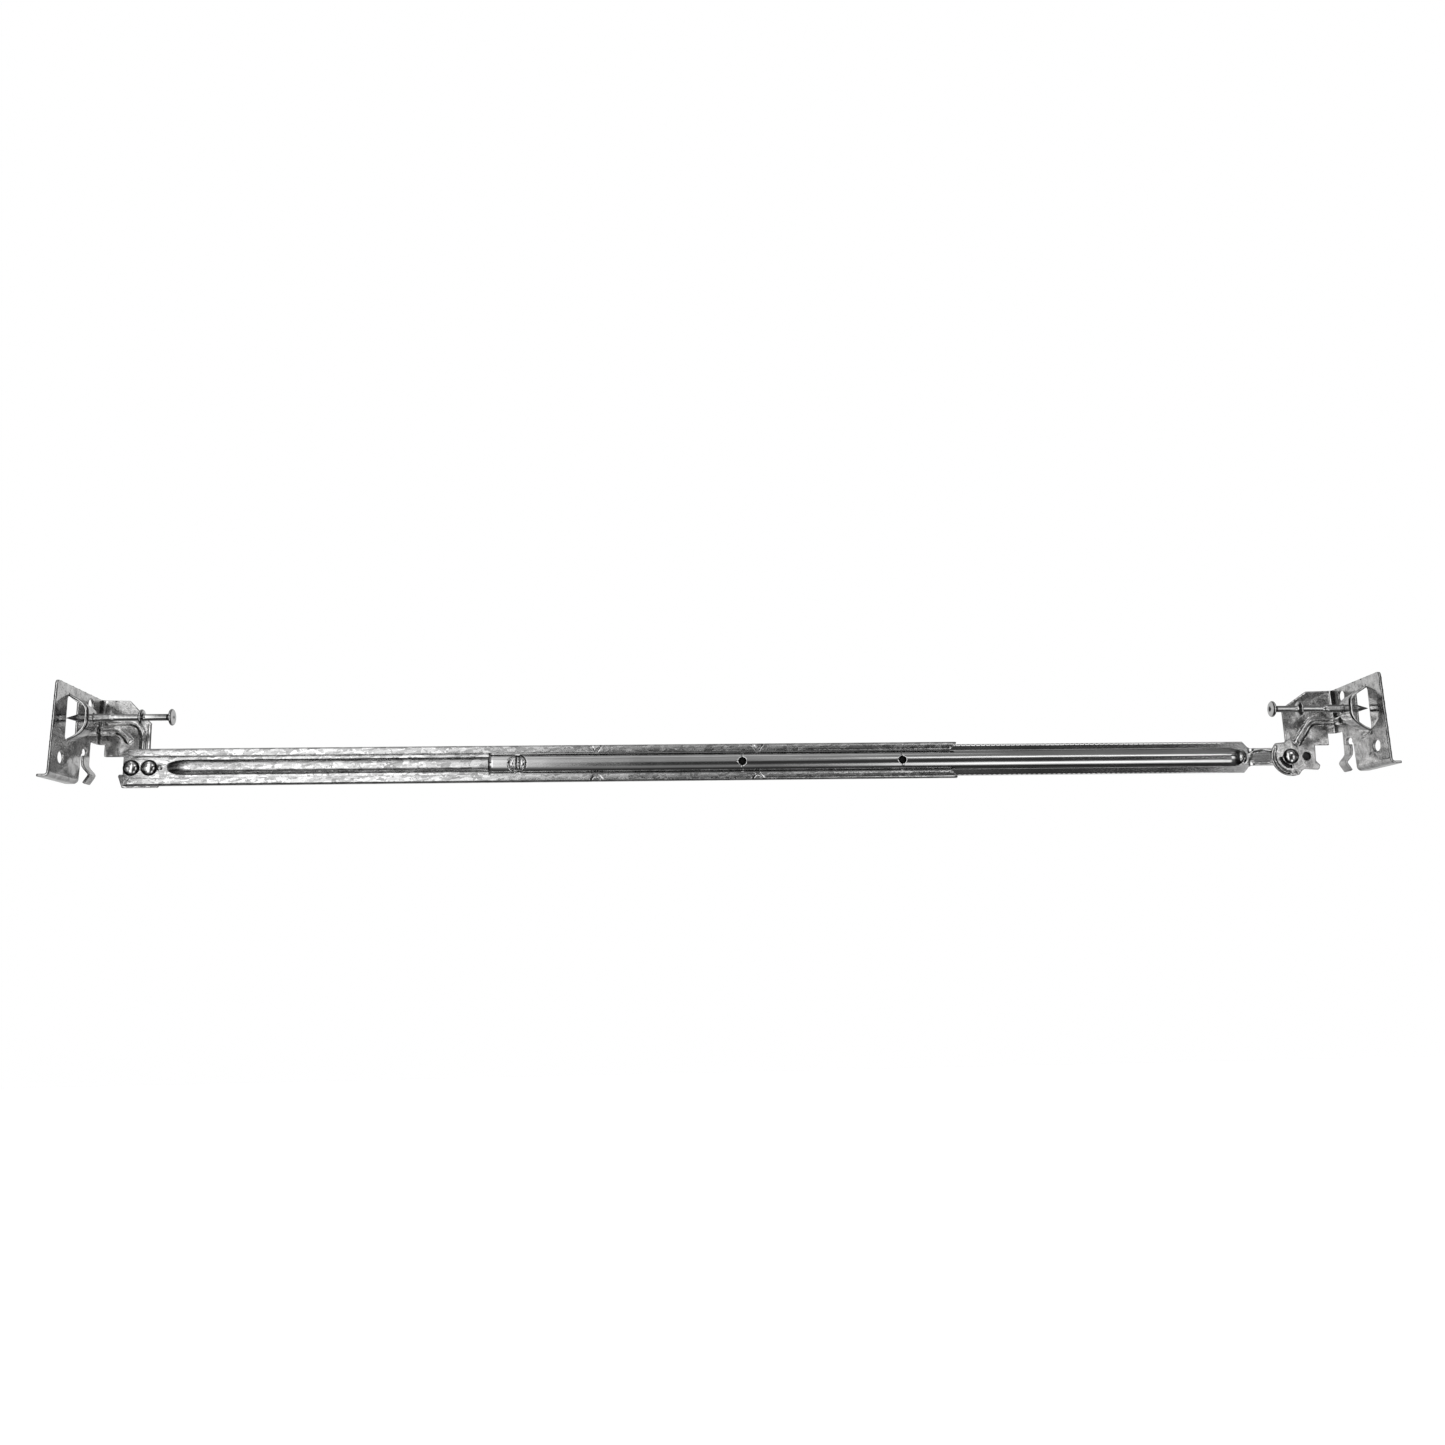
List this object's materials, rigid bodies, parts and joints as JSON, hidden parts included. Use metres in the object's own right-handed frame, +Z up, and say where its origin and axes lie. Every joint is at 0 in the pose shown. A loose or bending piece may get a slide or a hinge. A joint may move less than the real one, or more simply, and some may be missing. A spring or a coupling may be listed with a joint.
{
  "type": "telescoping bar hanger",
  "caption": "Telescoping ribbed steel rail with a folded joist bracket and captive nail at each end, one bracket fixed and one swinging, to carry a recessed light housing between joists",
  "frame": {"origin": "On the left bracket's joist face, level with the rail rivets and in the vertical plane of the nails", "axes": "+X along the rails towards the right joist, +Z up, -Y towards the side that the rivet heads and rail lips face"},
  "size_m": [0.4972, 0.0397, 0.0355],
  "materials": {
    "outer_rail_zinc": "hot-dip galvanised, bright, with crystalline spangle streaks",
    "inner_rail_zinc": "galvanised and rolled smooth, with a soft mirror sheen",
    "bracket_zinc": "satin zinc plate, warm mid grey",
    "rivet_steel": "polished dome",
    "nail_steel": "bright zinc, polished"
  },
  "bodies": {
    "outer": {"outer_rail": "outer_rail_zinc", "left_bracket": "bracket_zinc", "left_rivet_inner": "rivet_steel", "left_rivet_outer": "rivet_steel"},
    "inner": {"inner_rail": "inner_rail_zinc", "right_pivot_rivet": "rivet_steel"},
    "right_bracket": {"right_bracket": "bracket_zinc"},
    "left_nail": {"left_nail": "nail_steel"},
    "right_nail": {"right_nail": "nail_steel"}
  },
  "joints": [
    {"name": "telescope", "type": "slide", "parent": "outer", "child": "inner", "axis": [1, 0, 0], "range_m": [-0.112, 0.12]},
    {"name": "bracket_swing", "type": "hinge", "parent": "inner", "child": "right_bracket", "pos_m": [0.4696, 0.0193, 0], "axis": [0, 1, 0], "range_deg": [0, 90]},
    {"name": "left_nail_drive", "type": "slide", "parent": "outer", "child": "left_nail", "axis": [-1, 0, 0], "range_m": [0, 0.0165]},
    {"name": "right_nail_drive", "type": "slide", "parent": "right_bracket", "child": "right_nail", "axis": [1, 0, 0], "range_m": [0, 0.0165]}
  ]
}
